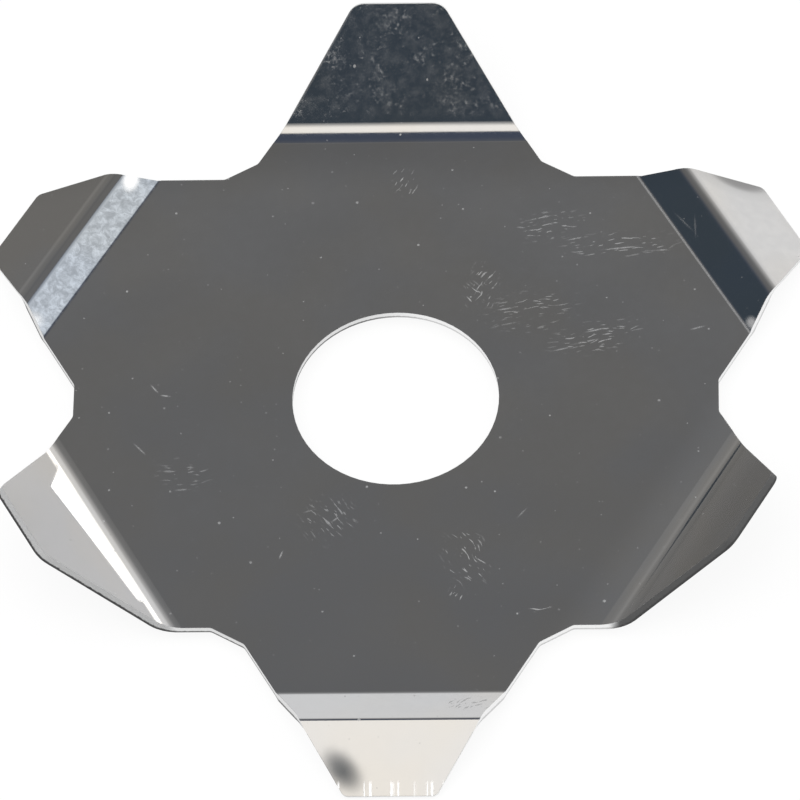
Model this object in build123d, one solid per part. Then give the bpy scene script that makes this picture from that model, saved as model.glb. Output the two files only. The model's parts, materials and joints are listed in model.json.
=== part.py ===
from build123d import *
import os
from math import cos, radians, sin, tan

# A toothed mower blade, cut and bent from one flat sheet of steel.
# Sizes are in millimetres and angles in degrees. The bore's axis is Z, the hub's
# lower face is at z = 0, and +Y runs through a raised tooth.
# Distances along a tooth are measured on the flat blank, from the bore's axis.

# Flat blank
blade_diameter = 230.0        # between the blunt ends of two opposite teeth
tooth_pairs = 3               # raised and stepped teeth take turns round the hub
tip_width = 22.5              # along the blunt end of a tooth
flank_angle = 30.0            # between a flank and its tooth's centre line
notch_width = 9.6             # straight floor of the notch between two teeth
notch_corner_radius = 2.0
sheet_thickness = 2.0

# Round hole that seats on the rotor's spigot
bore_diameter = 51.5

# Raised teeth: one bend, upwards, which came out a little different on each of them
raised_root_length = 9.5      # from the notch to the middle of the bend
raised_bend_angles = (43.5, 49.0, 53.5)
raised_inside_radius = 7.0
raised_corner_radius = 4.5    # at the corners of the blunt end

# Stepped teeth: a web that rises from the hub, then a tip that turns down
web_root_length = 14.5        # from the notch to the middle of the web's bend
web_bend_angle = 23.5
web_inside_radius = 2.0
web_length = 10.0             # between the middles of the two bends
tip_bend_angle = 50.0
tip_inside_radius = 3.5
stepped_corner_radius = 2.0   # at the corners of the blunt end

# Cross-sections that guide the round faces of a bend
SECTIONS_PER_BEND = 5

# The first tooth is a raised one and lies along +Y
FIRST_TOOTH_ANGLE = 90.0

tooth_count = 2 * tooth_pairs
tooth_pitch = 360.0 / tooth_count
blade_radius = blade_diameter / 2
mid_height = sheet_thickness / 2


def half_width(station):
    """Half a tooth's width at that distance from the axis."""
    return tip_width / 2 + (blade_radius - station) * tan(radians(flank_angle))


def tooth_root():
    """Distance along a tooth at which its flanks leave the floors of the notches."""
    half_pitch = radians(tooth_pitch / 2)
    flank = radians(flank_angle)
    widest = tip_width / 2 + blade_radius * tan(flank)
    flanks_meet = widest / (tan(flank) + tan(half_pitch))
    return flanks_meet + notch_width / 2 / sin(flank + half_pitch) * cos(flank)


def is_raised(number):
    return number % 2 == 0


def folds(number):
    """Middle, angle and inside radius of each bend of a tooth, from the hub outwards."""
    if is_raised(number):
        raised_bend = tooth_root() + raised_root_length
        angle = raised_bend_angles[number // 2 % len(raised_bend_angles)]
        return [(raised_bend, angle, raised_inside_radius)]
    web_bend = tooth_root() + web_root_length
    tip_bend = web_bend + web_length
    return [
        (web_bend, web_bend_angle, web_inside_radius),
        (tip_bend, -tip_bend_angle, tip_inside_radius),
    ]


def bend_length(angle, inside_radius):
    """Length of a bend along the middle of the sheet."""
    return (inside_radius + sheet_thickness / 2) * radians(abs(angle))


def bend_start(fold):
    middle, angle, inside_radius = fold
    return middle - bend_length(angle, inside_radius) / 2


def flat_blank():
    """The sheet as it is cut, with tooth number 0 along +X."""
    corners = []
    radii = []
    for number in range(tooth_count):
        tip_radius = raised_corner_radius if is_raised(number) else stepped_corner_radius
        for station, side in ((tooth_root(), -1), (blade_radius, -1), (blade_radius, 1), (tooth_root(), 1)):
            corner = Vector(station, side * half_width(station), 0)
            corners.append(corner.rotate(Axis.Z, number * tooth_pitch))
            radii.append(tip_radius if station == blade_radius else notch_corner_radius)
    outline = FilletPolyline(*corners, radius=radii, close=True)
    sheet = extrude(make_face(outline), sheet_thickness)
    return sheet - Pos(0, 0, mid_height) * Cylinder(bore_diameter / 2, 2 * sheet_thickness)


def beyond(station):
    """A block that holds all of the tooth along +X from that distance outwards."""
    length = blade_radius
    width = 2 * half_width(station) + notch_width
    return Pos(station + length / 2, 0, mid_height) * Box(length, width, 2 * sheet_thickness)


def flat_stretch(blank, start, end):
    """The blank's tooth along +X, between two distances from the axis."""
    stretch = blank & beyond(start)
    return stretch - beyond(end) if end < blade_radius else stretch


class Place:
    """A place on a bent tooth's centre line, half-way through the sheet."""

    def __init__(self, station, reach, height, slope):
        self.station = station
        self.reach = reach
        self.height = height
        self.slope = slope

    def ahead(self, length, turn=0.0):
        """The place that is further out by that length, along an arc or a straight line."""
        half_turn = radians(turn) / 2
        chord = length * sin(half_turn) / half_turn if turn else length
        mean_slope = radians(self.slope) + half_turn
        return Place(
            self.station + length,
            self.reach + chord * cos(mean_slope),
            self.height + chord * sin(mean_slope),
            self.slope + turn,
        )

    def section(self):
        """The sheet's cross-section there."""
        slope = radians(self.slope)
        across = Plane((self.reach, 0, self.height), x_dir=(0, 1, 0), z_dir=(cos(slope), 0, sin(slope)))
        return across * Rectangle(2 * half_width(self.station), sheet_thickness)

    def carries(self, stretch):
        """A flat stretch of the blank, moved to where the bends have taken it."""
        from_blank = Pos(-self.station, 0, -mid_height)
        return Pos(self.reach, 0, self.height) * Rot(0, -self.slope, 0) * from_blank * stretch


def round_bend(place, angle, inside_radius):
    """The sheet round one bend, narrowing as the tooth does."""
    steps = SECTIONS_PER_BEND - 1
    step = bend_length(angle, inside_radius) / steps
    sections = [place.section()]
    for _ in range(steps):
        place = place.ahead(step, angle / steps)
        sections.append(place.section())
    return loft(sections), place


def bent_tooth(blank, number):
    """The pieces of a tooth from its first bend to its blunt end, along +X."""
    tooth_folds = folds(number)
    starts = [bend_start(fold) for fold in tooth_folds]
    ends = starts[1:] + [blade_radius]
    turned_blank = Rot(0, 0, -number * tooth_pitch) * blank
    place = Place(starts[0], starts[0], mid_height, 0.0)
    pieces = []
    for (_, angle, inside_radius), end in zip(tooth_folds, ends):
        bend, place = round_bend(place, angle, inside_radius)
        stretch = flat_stretch(turned_blank, place.station, end)
        pieces += [bend, place.carries(stretch)]
        place = place.ahead(end - place.station)
    return pieces


def blade():
    blank = flat_blank()
    solid = blank
    for number in range(tooth_count):
        turn = Rot(0, 0, number * tooth_pitch)
        solid -= turn * beyond(bend_start(folds(number)[0]))
        solid += [turn * piece for piece in bent_tooth(blank, number)]
    return Rot(0, 0, FIRST_TOOTH_ANGLE) * solid


os.makedirs("parts", exist_ok=True)
export_step(blade(), "parts/blade_plate.step")
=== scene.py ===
import json
from math import cos, radians, sin

import bpy
from mathutils import Matrix, Vector

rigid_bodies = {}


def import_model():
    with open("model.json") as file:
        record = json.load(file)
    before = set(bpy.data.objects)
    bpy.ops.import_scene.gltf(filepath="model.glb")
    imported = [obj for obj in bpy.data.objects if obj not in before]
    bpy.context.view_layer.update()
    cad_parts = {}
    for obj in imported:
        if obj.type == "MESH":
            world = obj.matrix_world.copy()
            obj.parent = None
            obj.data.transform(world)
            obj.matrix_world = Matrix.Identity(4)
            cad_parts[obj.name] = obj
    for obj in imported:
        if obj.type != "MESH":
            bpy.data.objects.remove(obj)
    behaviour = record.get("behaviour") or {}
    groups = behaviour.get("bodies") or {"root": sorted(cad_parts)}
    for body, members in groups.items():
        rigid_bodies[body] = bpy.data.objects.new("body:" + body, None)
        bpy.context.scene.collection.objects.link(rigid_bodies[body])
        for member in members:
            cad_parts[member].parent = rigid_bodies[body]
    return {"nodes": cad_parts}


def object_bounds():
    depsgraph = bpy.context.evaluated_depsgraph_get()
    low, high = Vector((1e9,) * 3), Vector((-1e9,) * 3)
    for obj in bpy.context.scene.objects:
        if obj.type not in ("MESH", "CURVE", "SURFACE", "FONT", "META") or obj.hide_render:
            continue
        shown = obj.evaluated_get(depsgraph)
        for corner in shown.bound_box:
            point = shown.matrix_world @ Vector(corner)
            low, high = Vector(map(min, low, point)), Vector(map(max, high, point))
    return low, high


# A folded steel blade lies on a pale floor and is seen from above its lower tooth.
# Lengths are in metres where no unit is named, and angles in degrees.

MM = 0.001

# View: it looks down on the blade from beyond the tooth at -Y
FRAME_PIXELS = 800
PIXELS_PER_METRE = 4013.0     # at the bore
CAMERA_DISTANCE = 1.9465
CAMERA_PITCH = -33.89         # tips the top of the blade away from the viewer
CAMERA_YAW = -2.06
CAMERA_ROLL = -0.77
BORE_OFFSET_RIGHT = -0.00104  # of the bore from the frame's centre
BORE_OFFSET_UP = -0.00004
HUB_MIDDLE_HEIGHT = 0.001

# The part's own sizes that the surface needs. Its teeth are named by where they lie in the
# view: top, upper left, bottom left, bottom, bottom right and upper right
SHEET_THICKNESS = 0.002
TOOTH_ANGLES = {"T": 90, "UL": 150, "BL": 210, "B": 270, "BR": 330, "UR": 30}


def empty_scene():
    for thing in list(bpy.data.objects):
        bpy.data.objects.remove(thing)


def add_camera():
    """A long lens, far off."""
    turn = (
        Matrix.Rotation(radians(CAMERA_PITCH), 3, "X")
        @ Matrix.Rotation(radians(CAMERA_YAW), 3, "Y")
        @ Matrix.Rotation(radians(CAMERA_ROLL), 3, "Z")
    )
    bore_in_view = Vector((BORE_OFFSET_RIGHT, BORE_OFFSET_UP, -CAMERA_DISTANCE))
    hub_middle = Vector((0.0, 0.0, HUB_MIDDLE_HEIGHT))
    facing = turn.transposed()
    data = bpy.data.cameras.new("camera")
    data.sensor_width = 36.0
    data.lens = data.sensor_width * PIXELS_PER_METRE * CAMERA_DISTANCE / FRAME_PIXELS
    data.clip_start = 0.1
    data.clip_end = 50.0
    camera = bpy.data.objects.new("camera", data)
    bpy.context.scene.collection.objects.link(camera)
    camera.matrix_world = Matrix.Translation(hub_middle - facing @ bore_in_view) @ facing.to_4x4()
    bpy.context.scene.camera = camera


class Nodes:
    """A short way to write a node tree."""

    def __init__(self, tree):
        self.tree = tree
        self.tree.nodes.clear()

    def add(self, kind, **settings):
        node = self.tree.nodes.new(kind)
        for name, value in settings.items():
            setattr(node, name, value)
        return node

    def set(self, socket, value):
        if isinstance(value, bpy.types.NodeSocket):
            self.tree.links.new(value, socket)
        else:
            socket.default_value = value

    def math(self, operation, first, second=0.0, third=0.0, clamp=False):
        node = self.add("ShaderNodeMath", operation=operation, use_clamp=clamp)
        for socket, value in zip(node.inputs, (first, second, third)):
            self.set(socket, value)
        return node.outputs[0]

    def product(self, *values):
        result = values[0]
        for value in values[1:]:
            result = self.math("MULTIPLY", result, value)
        return result

    def largest(self, *values):
        result = values[0]
        for value in values[1:]:
            result = self.math("MAXIMUM", result, value)
        return result

    def ramp(self, value, start, end, low=0.0, high=1.0):
        """Eases from low at start to high at end, where end may also be the smaller."""
        if start > end:
            start, end, low, high = end, start, high, low
        node = self.add("ShaderNodeMapRange", interpolation_type="SMOOTHSTEP")
        names = ("Value", "From Min", "From Max", "To Min", "To Max")
        for name, setting in zip(names, (value, start, end, low, high)):
            self.set(node.inputs[name], setting)
        return node.outputs["Result"]

    def band(self, value, start, full, leave, end):
        """1 between full and leave, and 0 before start and after the end."""
        return self.product(self.ramp(value, start, full), self.ramp(value, end, leave))

    def tinted(self, level, tint):
        node = self.add("ShaderNodeCombineColor")
        for socket, share in zip(node.inputs, tint):
            self.set(socket, self.product(level, share))
        return node.outputs[0]

    def mix(self, share, first, second, kind="RGBA"):
        node = self.add("ShaderNodeMix", data_type=kind)
        at = {"RGBA": (6, 7, 2), "VECTOR": (4, 5, 1), "FLOAT": (2, 3, 0)}[kind]
        self.set(node.inputs[0], share)
        self.set(node.inputs[at[0]], first)
        self.set(node.inputs[at[1]], second)
        return node.outputs[at[2]]

    def vector_math(self, operation, first, second):
        node = self.add("ShaderNodeVectorMath", operation=operation)
        self.set(node.inputs[0], first)
        self.set(node.inputs[3 if operation == "SCALE" else 1], second)
        return node.outputs["Value" if operation == "DOT_PRODUCT" else "Vector"]

    def noise(self, vector, scale, detail=2.0, roughness=0.5, distortion=0.0):
        node = self.add("ShaderNodeTexNoise")
        names = ("Vector", "Scale", "Detail", "Roughness", "Distortion")
        for name, value in zip(names, (vector, scale, detail, roughness, distortion)):
            self.set(node.inputs[name], value)
        return node.outputs["Fac"]


def grey(level, tint=(1.0, 1.0, 1.0)):
    return (level * tint[0], level * tint[1], level * tint[2], 1.0)


# Studio

NEUTRAL = (1.0, 1.0, 1.0)
COOL = (0.78, 1.03, 1.32)
COOL_SOFT = (0.92, 1.0, 1.09)
WARM = (1.04, 1.0, 0.94)

# What the studio shows at the back, by height above the horizon: angle and level
BACK_GLOW = ((-4, 1.03), (20, 0.95), (29, 0.63), (40, 0.40), (49, 0.25), (56, 0.187))
BACK_RIGHT_GLOW = ((-4, 0.98), (20, 0.98), (27, 0.96), (39, 0.52), (47, 0.36), (57, 0.187))
BACK_LEFT_GLOW = ((-4, 0.20), (14, 0.22), (27, 0.29), (40, 0.24), (56, 0.187))

# The dark gap and the light overhead, by angles past the back horizon: they start, are full,
# begin to leave and end
GAP = (57, 70, 93, 97)
GAP_COLOUR = (0.080, 0.097, 0.140, 1.0)
OVERHEAD = (93, 97, 119, 142)
OVERHEAD_LEVEL = 1.30
FRONT_LEVEL = 0.068

# Soft patches: direction, angle of the even middle, angle with the soft rim, level, tint
PATCHES = (
    ((0.47, 0.88, 0.02), 3, 13, 2.6, WARM),
    ((0.66, 0.16, 0.74), 14, 24, 0.82, COOL_SOFT),
    ((-0.72, 0.18, 0.66), 18, 40, 0.072, COOL),
)

# Where the back gives way to its right and left, in degrees round from the middle, and where
# the dim front begins, in degrees past the back horizon
RIGHT_FROM = (8, 20)
LEFT_FROM = (-9, -20)
FRONT_FROM = (119, 127)
RIGHT_TINT = (1.012, 1.0, 0.985)
LEFT_TINT = (1.02, 1.0, 0.97)


def glow_by_height(nodes, height, steps):
    level = steps[0][1]
    for (start, _), (end, higher) in zip(steps, steps[1:]):
        level = nodes.mix(nodes.ramp(height, start, end), level, higher, "FLOAT")
    return level


def light_studio():
    """Light low at the back and overhead, dim between them, in front and on the left."""
    world = bpy.data.worlds.new("studio")
    world.use_nodes = True
    bpy.context.scene.world = world
    nodes = Nodes(world.node_tree)
    direction = nodes.add("ShaderNodeTexCoord").outputs["Generated"]
    parts = nodes.add("ShaderNodeSeparateXYZ")
    nodes.set(parts.inputs[0], direction)
    right, back, up = parts.outputs
    height = nodes.math("DEGREES", nodes.math("ARCSINE", up))
    azimuth = nodes.math("DEGREES", nodes.math("ARCTAN2", right, back))
    over = nodes.math("DEGREES", nodes.math("ARCTAN2", up, back))

    colour = nodes.tinted(glow_by_height(nodes, height, BACK_GLOW), NEUTRAL)
    on_right = nodes.tinted(glow_by_height(nodes, height, BACK_RIGHT_GLOW), RIGHT_TINT)
    colour = nodes.mix(nodes.ramp(azimuth, *RIGHT_FROM), colour, on_right)
    on_left = nodes.tinted(glow_by_height(nodes, height, BACK_LEFT_GLOW), LEFT_TINT)
    colour = nodes.mix(nodes.ramp(azimuth, *LEFT_FROM), colour, on_left)
    colour = nodes.mix(nodes.band(over, *GAP), colour, GAP_COLOUR)
    colour = nodes.mix(nodes.ramp(over, *FRONT_FROM), colour, grey(FRONT_LEVEL, COOL))
    fading = nodes.math("POWER", nodes.band(over, *OVERHEAD), 2.0)
    colour = nodes.mix(fading, colour, grey(OVERHEAD_LEVEL, WARM))
    for towards, inner, outer, level, tint in PATCHES:
        closeness = nodes.vector_math("DOT_PRODUCT", direction, Vector(towards).normalized())
        share = nodes.ramp(closeness, cos(radians(outer)), cos(radians(inner)))
        colour = nodes.mix(share, colour, grey(level, tint))
    background = nodes.add("ShaderNodeBackground")
    nodes.set(background.inputs["Color"], colour)
    output = nodes.add("ShaderNodeOutputWorld")
    nodes.set(output.inputs["Surface"], background.outputs[0])


LAMP_STRENGTH = 2.4
LAMP_WIDTH = 70               # as seen from the blade
LAMP_TILT = 12                # from overhead, towards the front and the left


def add_lamp():
    sun = bpy.data.lights.new("soft_lamp", "SUN")
    sun.energy = LAMP_STRENGTH
    sun.angle = radians(LAMP_WIDTH)
    lamp = bpy.data.objects.new("soft_lamp", sun)
    lamp.rotation_euler = (radians(LAMP_TILT), radians(-LAMP_TILT), 0)
    lamp.visible_glossy = False
    bpy.context.scene.collection.objects.link(lamp)


FLOOR_REACH = 6.0
FLOOR_EVENNESS = 0.88         # of the floor's white, which keeps a faint shadow


def lay_floor(height):
    mesh = bpy.data.meshes.new("floor")
    corners = [(x * FLOOR_REACH, y * FLOOR_REACH, height) for x, y in ((-1, -1), (1, -1), (1, 1), (-1, 1))]
    mesh.from_pydata(corners, [], [(0, 1, 2, 3)])
    floor = bpy.data.objects.new("floor", mesh)
    bpy.context.scene.collection.objects.link(floor)
    material = bpy.data.materials.new("pale_floor")
    material.use_nodes = True
    nodes = Nodes(material.node_tree)
    paint = nodes.add("ShaderNodeBsdfDiffuse")
    nodes.set(paint.inputs["Color"], grey(0.90))
    glow = nodes.add("ShaderNodeEmission")
    nodes.set(glow.inputs["Color"], grey(1.0))
    path = nodes.add("ShaderNodeLightPath").outputs
    seen = nodes.largest(path["Is Camera Ray"], path["Is Glossy Ray"], path["Is Transmission Ray"])
    mixed = nodes.add("ShaderNodeMixShader")
    nodes.set(mixed.inputs[0], nodes.product(seen, FLOOR_EVENNESS))
    nodes.set(mixed.inputs[1], paint.outputs[0])
    nodes.set(mixed.inputs[2], glow.outputs[0])
    output = nodes.add("ShaderNodeOutputMaterial")
    nodes.set(output.inputs["Surface"], mixed.outputs[0])
    mesh.materials.append(material)


# How deep a point lies below the sheet's upper face

PROBE_INSET = 0.00002         # below a face, so that the probe doesn't hit its own start
PROBE_REACH = 1.5 * SHEET_THICKNESS
UPRIGHT_FACE = 0.3            # least upward share of a normal on the upper face


def mark_depth(piece):
    """Stores each point's depth below the upper face, which tells the cut edges apart."""
    tree = bpy.data.node_groups.new("depth_below_upper_face", "GeometryNodeTree")
    tree.interface.new_socket("Geometry", in_out="INPUT", socket_type="NodeSocketGeometry")
    tree.interface.new_socket("Geometry", in_out="OUTPUT", socket_type="NodeSocketGeometry")
    nodes = Nodes(tree)
    given = nodes.add("NodeGroupInput").outputs[0]
    position = nodes.add("GeometryNodeInputPosition").outputs[0]
    normal = nodes.add("GeometryNodeInputNormal").outputs[0]

    inset = nodes.vector_math("SCALE", normal, -PROBE_INSET)
    probe = nodes.add("GeometryNodeRaycast")
    nodes.set(probe.inputs["Target Geometry"], given)
    nodes.set(probe.inputs["Source Position"], nodes.vector_math("ADD", position, inset))
    nodes.set(probe.inputs["Ray Direction"], nodes.vector_math("SCALE", normal, -1.0))
    nodes.set(probe.inputs["Ray Length"], PROBE_REACH)
    parts = nodes.add("ShaderNodeSeparateXYZ")
    nodes.set(parts.inputs[0], normal)
    faces_up = nodes.math("GREATER_THAN", parts.outputs["Z"], UPRIGHT_FACE)
    is_upper = nodes.math("GREATER_THAN", nodes.product(probe.outputs["Is Hit"], faces_up), 0.5)
    apart = nodes.add("GeometryNodeSeparateGeometry", domain="FACE")
    nodes.set(apart.inputs["Geometry"], given)
    nodes.set(apart.inputs["Selection"], is_upper)

    near = nodes.add("GeometryNodeProximity", target_element="FACES")
    nodes.set(near.inputs[0], apart.outputs["Selection"])
    store = nodes.add("GeometryNodeStoreNamedAttribute", data_type="FLOAT", domain="POINT")
    nodes.set(store.inputs["Geometry"], given)
    nodes.set(store.inputs["Name"], "depth")
    nodes.set(store.inputs["Value"], near.outputs["Distance"])
    result = nodes.add("NodeGroupOutput")
    nodes.set(result.inputs[0], store.outputs[0])
    piece.modifiers.new("depth", "NODES").node_group = tree


# Bright sheet

class Sheet:
    """Places on the blade, in millimetres, and shares of the thickness below the upper face."""

    def __init__(self, nodes):
        self.nodes = nodes
        coordinates = nodes.add("ShaderNodeTexCoord").outputs["Object"]
        self.place = nodes.vector_math("SCALE", coordinates, 1 / MM)
        self.x = self.along(0)
        self.y = self.along(90)
        depth = nodes.add("ShaderNodeAttribute", attribute_name="depth").outputs["Fac"]
        self.below = nodes.product(depth, 1 / SHEET_THICKNESS)
        self.on_upper_face = nodes.math("LESS_THAN", self.below, 0.5)
        wander = nodes.math("SUBTRACT", nodes.noise(self.place, 0.15, detail=1.0), 0.5)
        self.wander = nodes.product(wander, 3.0)
        self.blotches = nodes.noise(self.place, 0.35, detail=4.0, roughness=0.65)

    def along(self, degrees_round):
        angle = radians(degrees_round)
        return self.nodes.vector_math("DOT_PRODUCT", self.place, Vector((cos(angle), sin(angle), 0)))

    def tooth(self, name):
        """Distance along a tooth from the bore's axis, and across it to the left."""
        angle = TOOTH_ANGLES[name]
        return self.along(angle), self.along(angle + 90)

    def spot(self, u, v, middle_u, middle_v, reach_u, reach_v, turn=0.0, hard=0.0):
        """1 in the middle of an oval and 0 beyond its reach."""
        nodes = self.nodes
        c, s = cos(radians(turn)), sin(radians(turn))
        du = nodes.math("SUBTRACT", u, middle_u)
        dv = nodes.math("SUBTRACT", v, middle_v)
        first = nodes.math("ADD", nodes.product(du, c / reach_u), nodes.product(dv, s / reach_u))
        second = nodes.math("SUBTRACT", nodes.product(dv, c / reach_v), nodes.product(du, s / reach_v))
        squares = nodes.math("ADD", nodes.product(first, first), nodes.product(second, second))
        return nodes.ramp(nodes.math("SQRT", squares), 1.0, hard)

    def strokes(self, turn, length, width, amount):
        """Thin scratches that lie along one direction."""
        nodes = self.nodes
        u, v = self.along(turn), self.along(turn + 90)
        joined = nodes.add("ShaderNodeCombineXYZ")
        nodes.set(joined.inputs[0], nodes.product(u, 1 / length))
        nodes.set(joined.inputs[1], nodes.product(nodes.math("ADD", v, self.wander), 1 / width))
        nodes.set(joined.inputs[2], turn)
        lines = nodes.noise(joined.outputs[0], 1.0, detail=1.5, roughness=0.5)
        return nodes.ramp(lines, 0.70 - amount, 0.78 - amount)

    def specks(self, cell, share, radius):
        """Small round pits, one in a share of the cells."""
        nodes = self.nodes
        cells = nodes.add("ShaderNodeTexVoronoi", voronoi_dimensions="2D")
        nodes.set(cells.inputs["Vector"], self.place)
        nodes.set(cells.inputs["Scale"], 1 / cell)
        chance = nodes.add("ShaderNodeSeparateColor")
        nodes.set(chance.inputs[0], cells.outputs["Color"])
        chosen = nodes.math("LESS_THAN", chance.outputs[0], share)
        size = nodes.product(nodes.math("ADD", chance.outputs[1], 0.45), radius / cell)
        nearness = nodes.math("SUBTRACT", size, cells.outputs["Distance"])
        strength = nodes.math("MULTIPLY_ADD", chance.outputs[2], 0.8, 0.2)
        return nodes.product(chosen, strength, nodes.ramp(nearness, 0.0, 0.9 * radius / cell))


# Scuffed places on the hub: x, y, half-lengths, turn, the lie of their scratches, strength
SCUFFS = (
    (22.0, 34.0, 4.5, 9.0, 10, 60, 0.8),
    (50.0, 18.0, 15.0, 6.0, 14, 10, 0.7),
    (56.0, 46.0, 18.0, 5.0, 4, 10, 0.7),
    (38.0, 52.0, 11.0, 6.0, 12, 10, 0.6),
    (34.0, 26.0, 15.0, 8.0, 10, 10, 0.5),
    (18.0, -47.0, 7.0, 11.0, 15, 130, 0.9),
    (16.0, -58.0, 3.0, 3.0, 0, 60, 0.9),
    (36.0, -62.5, 3.5, 1.6, 12, 10, 1.0),
    (-16.0, -36.0, 9.0, 9.0, 30, 130, 0.5),
    (-52.0, -22.0, 9.0, 6.0, 0, 10, 0.35),
    (1.5, 66.0, 4.5, 6.0, 30, 60, 0.9),
    (19.0, 31.0, 3.5, 5.0, 0, 130, 0.8),
)

# Single scratches: x, y, half-length, turn, strength
SCRATCHES = (
    (35.7, 54.4, 4.0, 14, 0.8),
    (45.4, 48.1, 3.5, 12, 0.7),
    (55.9, 44.9, 6.0, 6, 0.8),
    (66.8, 44.2, 4.5, 4, 0.6),
    (27.1, 26.6, 3.0, 10, 0.6),
    (27.6, 22.0, 4.0, 12, 0.6),
    (50.1, 20.0, 4.0, 14, 0.7),
    (47.1, 16.4, 5.0, 14, 0.7),
    (41.4, 14.3, 3.0, 14, 0.5),
    (75.1, 20.3, 3.0, 16, 0.6),
    (-63.3, -14.8, 3.2, -48, 0.55),
    (-52.3, -26.8, 2.6, 4, 0.5),
    (-60.2, 3.2, 2.2, -52, 0.8),
    (-57.4, 1.2, 2.0, -8, 0.9),
    (-14.5, -36.0, 1.5, 40, 0.8),
    (-20.7, -33.3, 2.0, 20, 0.6),
    (-27.6, -46.2, 1.6, 70, 0.7),
    (31.6, -34.5, 2.5, 50, 0.4),
)

SCRATCH_HALF_WIDTH = 0.32


def handling_marks(sheet):
    """Specks, scratches and scuffs of the hub, and the finer ones all over."""
    nodes = sheet.nodes
    marks = [
        nodes.product(sheet.specks(12.0, 0.60, 0.34), 0.9),
        nodes.product(sheet.specks(5.0, 0.45, 0.20), 0.4),
    ]
    lines = {lie: sheet.strokes(lie, 3.2, 0.62, 0.10) for lie in (10, 60, 130)}
    for x, y, half_u, half_v, turn, lie, strength in SCUFFS:
        patch = sheet.spot(sheet.x, sheet.y, x, y, half_u, half_v, turn, hard=0.3)
        marks.append(nodes.product(patch, lines[lie], strength))
    crumbly = nodes.ramp(sheet.blotches, 0.36, 0.56)
    for x, y, half_length, turn, strength in SCRATCHES:
        line = sheet.spot(sheet.x, sheet.y, x, y, half_length, SCRATCH_HALF_WIDTH, turn)
        marks.append(nodes.product(line, crumbly, strength))
    return marks


def tooth_marks_and_painted_highlights(sheet):
    """Smudges, crumbs and frosted places on the teeth, and painted highlights along the top tooth's left
    flank and the upper right tooth's fold.
    """
    nodes = sheet.nodes
    marks = []
    along, across = sheet.tooth("T")
    on_tooth = nodes.ramp(along, 83.5, 85.5)
    clouds = nodes.noise(sheet.place, 0.11, detail=1.0)
    crumbs = nodes.noise(sheet.place, 0.9, detail=3.0, roughness=0.75, distortion=0.5)
    gathered = nodes.math("MULTIPLY_ADD", clouds, 0.5, crumbs)
    marks.append(nodes.product(on_tooth, nodes.ramp(gathered, 0.80, 1.0), 0.30))
    marks.append(nodes.product(on_tooth, nodes.ramp(sheet.blotches, 0.40, 0.75), 0.06))
    # Painted highlight: a lighter rim along the top tooth's left flank
    from_flank = nodes.math("MULTIPLY_ADD", along, 0.794, across)
    marks.append(nodes.product(on_tooth, nodes.ramp(from_flank, 94.2, 94.8), 0.20))

    along, across = sheet.tooth("UR")
    # Painted highlight: a lighter line along the upper right tooth's fold, broken up by the blotches
    fold_painted_highlight = nodes.band(along, 85.45, 85.75, 85.95, 86.25)
    marks.append(nodes.product(fold_painted_highlight, nodes.ramp(sheet.blotches, 0.2, 0.5, 0.15, 0.40)))
    marks.append(nodes.product(sheet.spot(along, across, 87.6, -26.0, 1.8, 2.6), 0.9))
    marks.append(nodes.product(sheet.spot(along, across, 90.0, 6.0, 4.0, 0.35, 62), 0.16))
    marks.append(nodes.product(sheet.spot(along, across, 88.5, 9.0, 0.35, 5.0, 8), 0.14))

    along, across = sheet.tooth("B")
    dented = sheet.spot(along, across, 90.4, 19.5, 3.0, 9.0, hard=0.4)
    marks.append(nodes.product(dented, sheet.strokes(35, 2.4, 0.7, 0.13), 0.85))
    return marks


def white_glints(sheet):
    """Small places that catch the light whole."""
    nodes = sheet.nodes
    along, across = sheet.tooth("UL")
    upper_end = sheet.spot(along, across, 91.8, -22.9, 2.6, 4.4, turn=10, hard=0.4)
    lower_end = sheet.spot(along, across, 90.5, 25.0, 3.0, 3.0)
    along, across = sheet.tooth("B")
    rows = nodes.add("ShaderNodeTexNoise", noise_dimensions="1D")
    nodes.set(rows.inputs["W"], across)
    nodes.set(rows.inputs["Scale"], 0.75)
    nodes.set(rows.inputs["Detail"], 2.0)
    ticks = nodes.product(nodes.ramp(rows.outputs["Fac"], 0.56, 0.62), nodes.ramp(along, 109.3, 110.6))
    return nodes.largest(upper_end, nodes.product(lower_end, 0.7), nodes.product(ticks, 0.9))


# Directions that the folding gave the sheet's face in a few flat or sharp places
WEB_B_NORMAL = (0.0, 0.3987, 0.9171)
TIP_B_NORMAL = (0.0, -0.4462, 0.8949)
LENS_BL_NORMAL = (0.4353, 0.2732, 0.858)
FOLD_BR_NORMAL = (-0.43, 0.25, 0.867)


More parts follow.
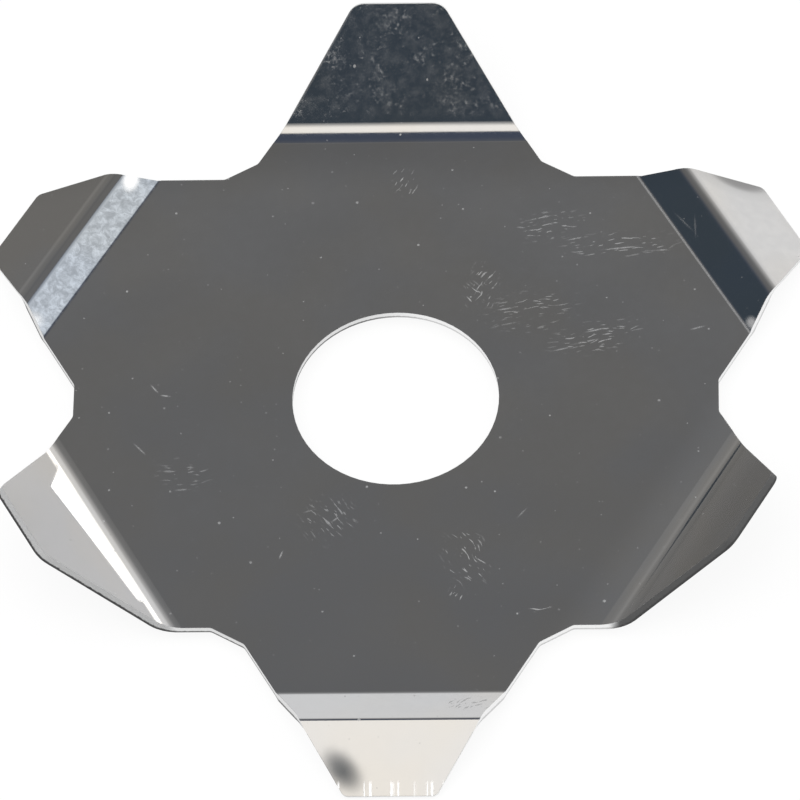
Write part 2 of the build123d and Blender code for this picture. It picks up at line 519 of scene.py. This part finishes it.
def folded_normals(sheet, normal):
    """Sharper and flatter places that the folding left on the round bends."""
    nodes = sheet.nodes
    along, across = sheet.tooth("B")
    nearby = nodes.band(along, 93.6, 93.7, 99.0, 99.1)
    sharp = nodes.mix(nodes.ramp(along, 95.3, 96.6), WEB_B_NORMAL, TIP_B_NORMAL, "VECTOR")
    normal = nodes.mix(nearby, normal, sharp, "VECTOR")

    along, across = sheet.tooth("BL")
    from_long_side = nodes.math("MULTIPLY_ADD", across, 0.11, along)
    from_short_side = nodes.math("MULTIPLY_ADD", across, -0.756, along)
    inside = nodes.product(nodes.ramp(from_long_side, 87.3, 86.6), nodes.ramp(from_short_side, 100.7, 99.9))
    lens = nodes.product(inside, nodes.ramp(along, 81.7, 82.3), nodes.ramp(across, 23.0, 21.0))
    normal = nodes.mix(lens, normal, LENS_BL_NORMAL, "VECTOR")

    along, across = sheet.tooth("BR")
    last_part = nodes.band(along, 82.0, 82.4, 84.15, 84.17)
    normal = nodes.mix(last_part, normal, FOLD_BR_NORMAL, "VECTOR")

    along, across = sheet.tooth("UL")
    first_part = nodes.band(along, 94.1, 94.2, 95.2, 95.6)
    normal = nodes.mix(first_part, normal, (0.0, 0.0, 1.0), "VECTOR")

    along, across = sheet.tooth("B")
    corner = sheet.spot(along, across, 107.3, -11.5, 12.0, 7.5, turn=50)
    normal = nodes.vector_math("ADD", normal, nodes.tinted(corner, (0.02, -0.22, 0.0)))
    along, across = sheet.tooth("UR")
    curl = sheet.spot(along, across, 108.5, 16.0, 13.0, 8.0, turn=-42, hard=0.3)
    normal = nodes.vector_math("ADD", normal, nodes.tinted(curl, (-0.15, -0.155, 0.08)))
    return nodes.vector_math("NORMALIZE", normal, (0.0, 0.0, 0.0))


def metal_tone_with_painted_light_and_shade(sheet):
    """Brightness of the bare metal, place by place, with painted shade on the hub towards the top tooth and
    painted light towards the lower right tooth's bend and on the lower left tooth.
    """
    nodes = sheet.nodes
    drift = nodes.noise(sheet.place, 0.03, detail=2.0)
    tone = nodes.mix(nodes.ramp(drift, 0.38, 0.62), (0.60, 0.603, 0.612, 1.0), (0.612, 0.604, 0.592, 1.0))
    # Painted shade: the hub darkens towards the top tooth's bend
    painted_shade_near_t = nodes.band(sheet.tooth("T")[0], 60.0, 77.5, 78.0, 78.6)
    # Painted light: the hub brightens towards the lower right tooth's bend
    painted_light_near_br = nodes.band(sheet.tooth("BR")[0], 66.0, 78.0, 81.0, 84.0)
    # Painted light: the lower left tooth is lighter from its bend outwards
    on_bl = nodes.ramp(sheet.tooth("BL")[0], 81.8, 82.4)
    scale = nodes.product(
        nodes.math("MULTIPLY_ADD", painted_shade_near_t, -0.15, 1.0),
        nodes.math("MULTIPLY_ADD", painted_light_near_br, 0.20, 1.0),
        nodes.math("MULTIPLY_ADD", on_bl, 0.22, 1.0),
    )

    along, across = sheet.tooth("UL")
    on_web = nodes.band(along, 85.9, 86.3, 92.8, 93.8)
    crackle = nodes.noise(sheet.place, 0.42, detail=5.0, roughness=0.72, distortion=0.5)
    frost = nodes.ramp(crackle, 0.36, 0.68, 0.80, 1.35)
    frosted = nodes.product(on_web, sheet.on_upper_face)
    scale = nodes.product(scale, nodes.mix(frosted, 1.0, frost, "FLOAT"))
    return nodes.vector_math("SCALE", tone, scale)


def sheet_material():
    material = bpy.data.materials.new("bright_sheet")
    material.use_nodes = True
    nodes = Nodes(material.node_tree)
    sheet = Sheet(nodes)

    # Besides the real specks, scratches and smudges, the marks hold painted highlights on the top and upper
    # right teeth
    marks = nodes.product(sheet.on_upper_face, nodes.largest(*handling_marks(sheet), *tooth_marks_and_painted_highlights(sheet)))
    glint = nodes.product(sheet.on_upper_face, white_glints(sheet))

    rounded = nodes.add("ShaderNodeBevel", samples=2)
    nodes.set(rounded.inputs["Radius"], 0.22 * MM)
    waves = nodes.noise(sheet.place, 0.022, detail=1.0)
    bump = nodes.add("ShaderNodeBump")
    nodes.set(bump.inputs["Strength"], 1.0)
    nodes.set(bump.inputs["Distance"], 0.25 * MM)
    nodes.set(bump.inputs["Height"], nodes.product(waves, 2.0))
    folded = folded_normals(sheet, rounded.outputs[0])
    nodes.set(bump.inputs["Normal"], nodes.mix(sheet.on_upper_face, rounded.outputs[0], folded, "VECTOR"))

    face = nodes.add("ShaderNodeBsdfPrincipled")
    # The metal's tone carries painted shade and painted light besides its own drifting tone
    tone = nodes.mix(marks, metal_tone_with_painted_light_and_shade(sheet), grey(0.36))
    # Painted highlights: the glints turn the face white and not metallic, as do the marks in part
    nodes.set(face.inputs["Base Color"], nodes.mix(glint, tone, grey(0.90)))
    marks_and_painted_glints = nodes.largest(nodes.product(marks, 0.75), glint)
    nodes.set(face.inputs["Metallic"], nodes.math("SUBTRACT", 1.0, marks_and_painted_glints))
    smooth = nodes.ramp(sheet.blotches, 0.3, 0.7, 0.10, 0.15)
    nodes.set(face.inputs["Roughness"], nodes.mix(marks, smooth, 0.50, "FLOAT"))
    nodes.set(face.inputs["Normal"], bump.outputs[0])

    above_lower_face = nodes.math("LESS_THAN", sheet.below, 0.985)
    on_cut = nodes.product(nodes.math("GREATER_THAN", sheet.below, 0.004), above_lower_face)
    whole = nodes.add("ShaderNodeMixShader")
    nodes.set(whole.inputs[0], on_cut)
    nodes.set(whole.inputs[1], face.outputs[0])
    nodes.set(whole.inputs[2], cut_edge(sheet, rounded.outputs[0]))
    output = nodes.add("ShaderNodeOutputMaterial")
    nodes.set(output.inputs["Surface"], whole.outputs[0])
    return material


# Tones of the sheared edge, of its burnished zone and of its torn one, with painted light on the hub's
# right edges and painted shade on its left ones and on the lower left and lower right teeth
HUB_EDGE_RIGHT_PAINTED_LIGHT = (0.90, 0.62)
HUB_EDGE_LEFT_PAINTED_SHADE = (0.74, 0.15)
BL_EDGE_PAINTED_SHADE = (0.48, 0.05)
BR_EDGE_PAINTED_SHADE = (0.085, 0.05)
TORN_FROM = 0.62              # of the thickness, from the upper face


def cut_edge(sheet, normal):
    """A sheared edge: an even burnished zone above a darker, torn one, with painted light and painted shade
    that differ from place to place.
    """
    nodes = sheet.nodes
    ragged = nodes.product(nodes.math("SUBTRACT", nodes.noise(sheet.place, 1.6, detail=3.0), 0.5), 0.30)
    torn = nodes.ramp(nodes.math("ADD", sheet.below, ragged), TORN_FROM, TORN_FROM + 0.14)
    on_right = nodes.ramp(sheet.x, -10.0, 10.0)
    on_bl = nodes.ramp(sheet.tooth("BL")[0], 79.0, 82.0)
    on_br = nodes.ramp(sheet.tooth("BR")[0], 79.0, 82.0)
    tone = nodes.mix(torn, *HUB_EDGE_LEFT_PAINTED_SHADE, "FLOAT")
    # Painted light on the hub's right edges, painted shade on the lower left and lower right teeth's edges
    for place, (upper, lower) in ((on_right, HUB_EDGE_RIGHT_PAINTED_LIGHT), (on_bl, BL_EDGE_PAINTED_SHADE), (on_br, BR_EDGE_PAINTED_SHADE)):
        tone = nodes.mix(place, tone, nodes.mix(torn, upper, lower, "FLOAT"), "FLOAT")
    # The lower teeth's edges are made dull, so that their painted shade shows
    dull_painted_shade_edges = nodes.largest(on_bl, on_br)
    cut = nodes.add("ShaderNodeBsdfPrincipled")
    nodes.set(cut.inputs["Base Color"], nodes.tinted(tone, NEUTRAL))
    nodes.set(cut.inputs["Metallic"], nodes.mix(dull_painted_shade_edges, 1.0, 0.2, "FLOAT"))
    nodes.set(cut.inputs["Roughness"], nodes.mix(dull_painted_shade_edges, 0.32, 0.6, "FLOAT"))
    nodes.set(cut.inputs["Normal"], normal)
    return cut.outputs[0]


empty_scene()
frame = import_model()
cad_low, cad_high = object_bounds()
bpy.context.scene.view_settings.view_transform = "Standard"

blade = frame["nodes"]["blade_plate"]
blade.material_slots[0].material = sheet_material()
mark_depth(blade)

add_camera()
light_studio()
add_lamp()
lay_floor(cad_low.z)
